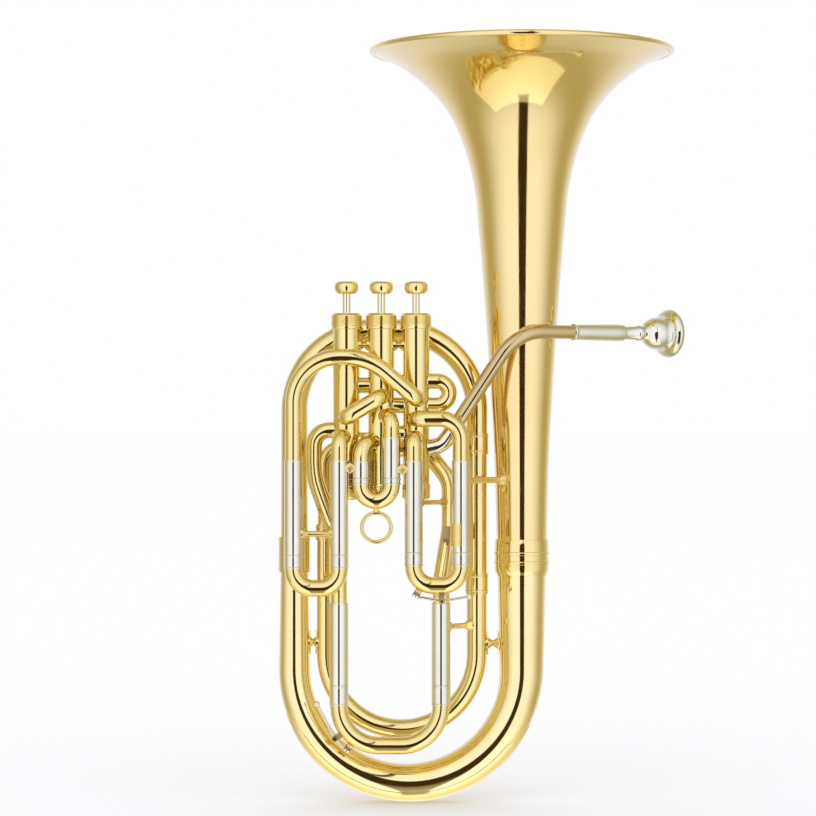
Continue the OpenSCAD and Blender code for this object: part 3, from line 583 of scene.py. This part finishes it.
for i, x in enumerate(VALVE_X):
    n = str(i + 1)
    curve = [tuple(v) for v in hermite([(7.4, 0.5), (8.8, 2.6), (9.1, 5), (8.6, 7.6), (7.2, 9)], 6)]
    dish = [(6.6, 9.18), (6, 9.2), (5.7, 9.0), (5.4, 8.72), (3, 8.5), (0, 8.4)]
    profile = [(0, 0.01), (6.6, 0.01)] + curve + dish
    make("button_cap_" + n, *lathe(profile, (x, VALVE_Y, BUTTON_Z), sides=72, closed=False), BRASS,
         "valve_" + n, "button_brass", ["button_" + n])
    foot, height = 232.2, PISTON_FOOT_Z + 2.8 - CAP_FLOOR_Z
    pts = [Vector((x + SPRING_R * math.cos(a), VALVE_Y + SPRING_R * math.sin(a),
                   foot + height * a / (2 * math.pi * SPRING_TURNS)))
           for a in [2 * math.pi * k / 36 for k in range(36 * SPRING_TURNS + 1)]]
    # the head stays at 262 mm on the piston, and the full stroke leaves 0.5545 of the spring's length
    s = make("spring_coil_" + n, *sweep(pts, SPRING_WIRE, None, 10), STEEL, "valve_" + n, "spring_steel",
             ["spring_" + n])
    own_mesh(s)

# ---------------------------------------------------------------- slides


def sleeve_profile(z0, z1, leg, outer, deep, tube_in):
    """An outer sleeve, beaded at the top, where a tube of radius tube_in enters it by deep."""
    bore = leg + SLIDE_GAP
    return [(bore, z0), (outer - 0.2, z0), (outer, z0 + 0.25), (outer, z1 - 1.1), (outer + 0.2, z1 - 0.95),
            (outer + 0.25, z1 - 0.7), (outer + 0.25, z1 - 0.25), (outer + 0.1, z1), (tube_in, z1),
            (tube_in, z1 - deep), (bore, z1 - deep)]


def leg_profile(z, ferrule, leg, outer, top):
    """A sliding leg up to top, with a ferrule ringed at both ends that reaches from z down."""
    zl = z - ferrule
    return [(leg - WALL, zl), (outer + 0.15, zl), (outer + 0.3, zl + 0.2), (outer + 0.3, zl + 0.95),
            (outer + 0.1, zl + 1.2), (outer, zl + 1.3), (outer, z - 1.3), (outer + 0.1, z - 1.2),
            (outer + 0.3, z - 0.95), (outer + 0.3, z - 0.2), (outer + 0.15, z), (leg, z), (leg, top - 0.3),
            (leg - 0.2, top), (leg - WALL, top)]


def slide(name, xs, y, z_pairs, leg, outer, ferrule, top, body, deeps, tube_ins):
    sleeves, legs = Parts(), Parts()
    for x, (z0, z1), deep, tin in zip(xs, z_pairs, deeps, tube_ins):
        sleeves.add(*lathe(sleeve_profile(z0, z1, leg, outer, deep, tin), (x, y, 0), sides=72))
        legs.add(*lathe(leg_profile(z0 - STOP_GAP, ferrule, leg, outer, top), (x, y, 0), sides=72))
    make(name + "_outer_sleeves", sleeves.verts, sleeves.faces, NICKEL, HORN, "nickel_silver",
         [name + "_sleeves"])
    make(name + "_inner_legs", legs.verts, legs.faces, NICKEL, body, "nickel_silver", [name + "_legs"])


def crook(name, xs, y, z, bottom, bend, r, body):
    pts = bend_path([(xs[0], y, z), (xs[0], y, bottom), (xs[1], y, bottom), (xs[1], y, z)], [bend, bend],
                    step=4.0)
    make(name + "_crook_bend", *sweep(pts, r, r - WALL, 56), BRASS, body, "tube_brass", [name + "_crook"])


TUNING_FERRULE, VALVE_SLIDE_FERRULE, SECOND_FERRULE = 14.5, 10, 4.7
TUNING_RADII, VALVE_SLIDE_RADII = (6.5, 7.1), (6.2, 6.8)  # outsides of leg and sleeve

slide("tuning", TUNING_X, VALVE_Y, [TUNING_SLEEVE] * 2, *TUNING_RADII, TUNING_FERRULE, 143, "tuning_slide",
      (SOCKET, SOCKET), (TUBE_R, RISER_R))
slide("first", FIRST_X, SLIDE_Y, [FIRST_SLEEVE] * 2, *VALVE_SLIDE_RADII, VALVE_SLIDE_FERRULE, 249.7,
      "first_slide", (SOCKET, SOCKET), (TUBE_R, TUBE_R))
slide("second", SECOND_X, SLIDE_Y, SECOND_SLEEVE, *VALVE_SLIDE_RADII, SECOND_FERRULE, 256, "second_slide",
      (SHORT_SOCKET, SOCKET), (TUBE_R, TUBE_R))
slide("third", THIRD_X, SLIDE_Y, [THIRD_SLEEVE] * 2, *VALVE_SLIDE_RADII, VALVE_SLIDE_FERRULE, 250,
      "third_slide", (SOCKET, SOCKET), (TUBE_R, TUBE_R))
for name, xs, y, sleeve_z, ferrule, bottom, bend, r in (
        ("tuning", TUNING_X, VALVE_Y, TUNING_SLEEVE[0], TUNING_FERRULE, 45.3, 29.6, 6.6),
        ("first", FIRST_X, SLIDE_Y, FIRST_SLEEVE[0], VALVE_SLIDE_FERRULE, 166.2, 13.9, 6.4),
        ("second", SECOND_X, SLIDE_Y, SECOND_SLEEVE[0][0], SECOND_FERRULE, 229.2, 11.2, 6.4),
        ("third", THIRD_X, SLIDE_Y, THIRD_SLEEVE[0], VALVE_SLIDE_FERRULE, 164.2, 14, 6.4)):
    crook(name, xs, y, sleeve_z - STOP_GAP - ferrule, bottom, bend, r, name + "_slide")

# the second slide's pull ring and its post
ring = Parts()
ring_centre = Vector((-23.5, SLIDE_Y, 209.3))
RING_R, RING_WIRE = 10.8, 1.5
circle = [(RING_R + RING_WIRE * math.cos(a), RING_WIRE * math.sin(a))
          for a in [2 * math.pi * k / 24 for k in range(24)]]
ring.add(*lathe(circle, ring_centre, (0, 1, 0), sides=96))
post = [(0, 11.2), (2.6, 11.2), (2.2, 12), (1.9, 12.8), (2.1, 13.6), (2.6, 14.4), (0, 14.4)]
ring.add(*lathe(post, ring_centre, sides=32, closed=False))
make("second_ring", ring.verts, ring.faces, BRASS, "second_slide", "tube_brass", ["second_pull_ring"])

# ---------------------------------------------------------------- receiver and mouthpiece

mouth = RECEIVER_END - RECEIVER_START  # height of the open end above the start
start = LEAD_CORNER + LEAD_DIR * RECEIVER_START
profile = [(5.2, 0), (5.9, 0), (6.2, 0.3), (6.3, 0.8), (6.2, 1.3), (6.0, 1.7), (5.8, 2.2), (5.85, 2.8),
           (6.1, 16), (6.5, mouth - 8), (6.5, mouth - 1.0), (6.4, mouth - 0.4), (6.1, mouth), (5.2, mouth),
           (4.97, mouth - 0.2), (4.27, mouth - SHANK), (4.1, mouth - SHANK - 0.5), (4.1, 11.8), (5.2, 11.8)]
make("receiver_body", *lathe(profile, start, LEAD_DIR, sides=72), SILVER, HORN, "silver_plate", ["receiver"])

# shank, outside of the cup, rim, inside of the cup, throat
cup = [(3.3, -SHANK), (4.0, -SHANK), (4.2, -SHANK + 0.2), (4.9, 0), (5.1, 12.4), (5.4, 12.8), (5.7, 13.2),
      (5.88, 14), (5.9, 15), (5.88, 16), (5.7, 17), (5.3, 18), (5, 18.4)]
cup += [tuple(v) for v in hermite([(5.6, 19.6), (8.6, 22), (11.3, 26), (12.4, 31), (12.5, 35), (13.4, 37.6),
                                  (16, 38.9)], 6)]
cup += [tuple(v) for v in hermite([(17.1, 39.4), (18.5, 42), (17.5, 45.2), (15.1, 46.6), (13.6, 45.6),
                                  (12.8, 43.4)], 8)]
cup += [tuple(v) for v in hermite([(12.6, 41), (11.6, 36), (9, 30), (5, 25.5), (3, 22)], 6)]
cup += [(2.6, 19), (2.6, 15)]
make("mouthpiece_cup", *lathe(cup, LEAD_CORNER + LEAD_DIR * RECEIVER_END, LEAD_DIR, sides=96), SILVER,
     "mouthpiece_body", "silver_plate", ["mouthpiece"], crease=40)

# ---------------------------------------------------------------- diamond plates and water key springs

TIE_BACK, TIE_FRONT = SLIDE_Y - 2, SLIDE_Y - 5.6
TIE_OUTLINE = [(-6, 0), (-3, -2.15), (0, -4.3), (3, -2.15), (6, 0), (3, 2.15), (0, 4.3), (-3, 2.15)]
TIE_CROWN = [(1.0, 0.0), (1.0, 2.5), (0.94, 2.9), (0.8, 3.2), (0.55, 3.45), (0.28, 3.57)]  # scale and height

ties = Parts()
for x, z in (((THIRD_X[1] + SECOND_X[0]) / 2, 253.5), ((SECOND_X[1] + FIRST_X[0]) / 2, 252.5)):
    verts = [(x + u * f, TIE_BACK - h, z + v * f) for f, h in TIE_CROWN for u, v in TIE_OUTLINE]
    verts.append((x, TIE_FRONT, z))
    n = len(TIE_OUTLINE)
    faces = [tuple(range(n - 1, -1, -1))]
    for i in range(len(TIE_CROWN) - 1):
        faces += [(n * i + k, n * i + (k + 1) % n, n * i + n + (k + 1) % n, n * i + n + k) for k in range(n)]
    top = n * (len(TIE_CROWN) - 1)
    faces += [(top + k, top + (k + 1) % n, len(verts) - 1) for k in range(n)]
    ties.add(verts, [f[::-1] for f in faces])
make("sleeve_tie_plates", ties.verts, ties.faces, PLATE, HORN, "tube_brass", ["sleeve_diamonds"], crease=50)

COIL_R, COIL_WIRE, COIL_START, COIL_LENGTH = 2.1, 0.2, 1.4, 0.8

# two coils of two turns each on either side of a water key's pin
for body, x, y, z in (("tuning_slide", -54.8, VALVE_Y, 50.6), ("first_slide", 25.0, SLIDE_Y, 154.6)):
    coils = Parts()
    for side in (-1, 1):
        pts = [Vector((x + COIL_R * math.cos(a), y + side * (COIL_START + COIL_LENGTH * a / (4 * math.pi)),
                       z + COIL_R * math.sin(a))) for a in [2 * math.pi * k / 24 for k in range(49)]]
        coils.add(*sweep(pts, COIL_WIRE, None, 8))
    make(body + "_key_spring", coils.verts, coils.faces, BRASS, body, "spring_steel")

# ---------------------------------------------------------------- nodes that keep their CAD mesh


def keep_cad(name, material):
    """Gives a CAD node its material and smooth shading. Its vertices stay as they are."""
    o = NODES[name]
    o.data.materials.clear()
    o.data.materials.append(material)
    o.data.shade_smooth()
    o.data.set_sharp_from_angle(angle=math.radians(30.0))


for name in ("valve_braces", "bow_braces", "casing_1", "casing_2", "casing_3"):
    keep_cad(name, BRASS)
keep_cad("slide_braces", PLATE)
for name in ("piston_1", "piston_2", "piston_3"):
    keep_cad(name, STEM)
for key in ("tuning_key", "first_key"):
    keep_cad(key + "_saddle", PLATE)
    keep_cad(key + "_lever", SILVER)
    keep_cad(key + "_pin", SILVER)
    keep_cad(key + "_cork", CORK)

# ---------------------------------------------------------------- studio

floor = bpy.data.objects.new("studio_floor", bpy.data.meshes.new("studio_floor"))
size = 30.0
corners = [(-size, -size, 0), (size, -size, 0), (size, size, 0), (-size, size, 0)]
floor.data.from_pydata(corners, [], [(0, 1, 2, 3)])
floor.location.z = -0.0005
white = bpy.data.materials.new("studio_white")
white.use_nodes = True
white.node_tree.nodes["Principled BSDF"].inputs["Base Color"].default_value = (0.93, 0.93, 0.93, 1)
white.node_tree.nodes["Principled BSDF"].inputs["Roughness"].default_value = 0.9
floor.data.materials.append(white)
floor.visible_glossy = False
bpy.context.scene.collection.objects.link(floor)


PANEL_COLOUR, ROOM_COLOUR, SLIT_COLOUR = (1.12, 1.19, 1.62), (0.52, 0.48, 0.33), (0.05, 0.03, 0.008)


def studio_light():
    """Bright panels in front with a dark slit between them, a dim warm room, and a paler wall behind."""
    w = bpy.data.worlds.new("studio")
    bpy.context.scene.world = w
    w.use_nodes = True
    t = w.node_tree
    t.nodes.clear()
    out = t.nodes.new("ShaderNodeOutputWorld")
    back = t.nodes.new("ShaderNodeBackground")
    place = t.nodes.new("ShaderNodeTexCoord")
    axes = t.nodes.new("ShaderNodeSeparateXYZ")
    t.links.new(place.outputs["Generated"], axes.inputs[0])

    def maths(op, a, b=None, c=None):
        n = t.nodes.new("ShaderNodeMath")
        n.operation = op
        for i, v in enumerate((a, b, c)):
            if v is None:
                continue
            if isinstance(v, (int, float)):
                n.inputs[i].default_value = v
            else:
                t.links.new(v, n.inputs[i])
        return n.outputs[0]

    def step(value, low, high):
        n = node(t, "ShaderNodeMapRange", From_Min=low, From_Max=high, To_Min=0.0, To_Max=1.0)
        n.interpolation_type = "SMOOTHSTEP"
        t.links.new(value, n.inputs["Value"])
        return n.outputs["Result"]

    x, y, z = axes.outputs
    ahead = maths("MULTIPLY", y, -1.0)
    down = maths("MULTIPLY", z, -1.0)

    def window(value, low, high, soft=0.02):
        """1 between low and high, 0 outside."""
        rise, fall = step(value, low, low + soft), step(value, high - soft, high)
        return maths("MULTIPLY", rise, maths("SUBTRACT", 1.0, fall))

    def edge(at_horizon, high_up, low_down):
        """Where a side of the slit runs: one value at the horizon, others well above and well below it."""
        up = node(t, "ShaderNodeMapRange", From_Min=0.06, From_Max=0.22, To_Min=at_horizon, To_Max=high_up)
        t.links.new(z, up.inputs["Value"])
        low = node(t, "ShaderNodeMapRange", From_Min=0.3, From_Max=0.9, To_Min=0.0,
                   To_Max=low_down - at_horizon)
        t.links.new(down, low.inputs["Value"])
        return maths("ADD", up.outputs["Result"], low.outputs["Result"])

    # dark slit towards -Y, narrower above and below the horizon
    past_left = maths("SUBTRACT", x, edge(-0.19, 0.05, -0.08))
    past_right = maths("SUBTRACT", x, edge(0.19, 0.12, 0.12))
    slit = maths("MULTIPLY", step(past_left, 0.0, 0.02), maths("SUBTRACT", 1.0, step(past_right, -0.02, 0.0)))
    slit = maths("MULTIPLY", slit, maths("MULTIPLY", step(ahead, 0.0, 0.1), window(down, -0.8, 0.95)))
    # bright panels in front, a dim warm room at the sides, above and below, and a paler wall behind
    glow = maths("ADD", step(ahead, -0.15, 0.86), maths("MULTIPLY", step(y, 0.3, 0.95), 0.62))

    def mix(factor, a, b):
        n = t.nodes.new("ShaderNodeMix")
        n.data_type = "RGBA"
        for socket, v in ((n.inputs[0], factor), (n.inputs[6], a), (n.inputs[7], b)):
            if isinstance(v, tuple):
                socket.default_value = (*v, 1)
            else:
                t.links.new(v, socket)
        return n.outputs[2]

    room = mix(glow, ROOM_COLOUR, PANEL_COLOUR)
    room = mix(slit, room, SLIT_COLOUR)
    # the floor is lit evenly, and what the camera sees straight behind the horn is plain white
    path = t.nodes.new("ShaderNodeLightPath")
    room = mix(path.outputs["Is Diffuse Ray"], room, (1.14, 1.14, 1.14))
    room = mix(path.outputs["Is Camera Ray"], room, (1.0, 1.0, 1.0))
    t.links.new(room, back.inputs["Color"])
    back.inputs["Strength"].default_value = 1.0
    t.links.new(back.outputs[0], out.inputs["Surface"])


studio_light()

# a soft card on the floor that only shows as a bright reflection under the bows and crooks
card = bpy.data.lights.new("floor_card", "AREA")
card.shape = "RECTANGLE"
card.size, card.size_y = 0.7, 0.37
card.energy = 0.32 * math.pi * card.size * card.size_y
card.spread = 2.4
card.color = (1.0, 1.0, 0.96)
lamp = bpy.data.objects.new("floor_card", card)
lamp.location = (0.0, -0.145, -0.0003)
lamp.rotation_euler = (math.pi, 0, 0)  # shines upwards
lamp.visible_camera = lamp.visible_diffuse = lamp.visible_transmission = False
bpy.context.scene.collection.objects.link(lamp)

scene = bpy.context.scene
scene.view_settings.view_transform = "Standard"
scene.view_settings.look = "None"

cam = bpy.data.objects.new("camera", bpy.data.cameras.new("camera"))
cam.data.sensor_width = 36.0
cam.data.lens = 127.0
cam.location = (0.0, -2.18, 0.298)
cam.rotation_euler = (math.radians(90), 0, 0)
cam.data.clip_end = 100.0
scene.collection.objects.link(cam)
scene.camera = cam
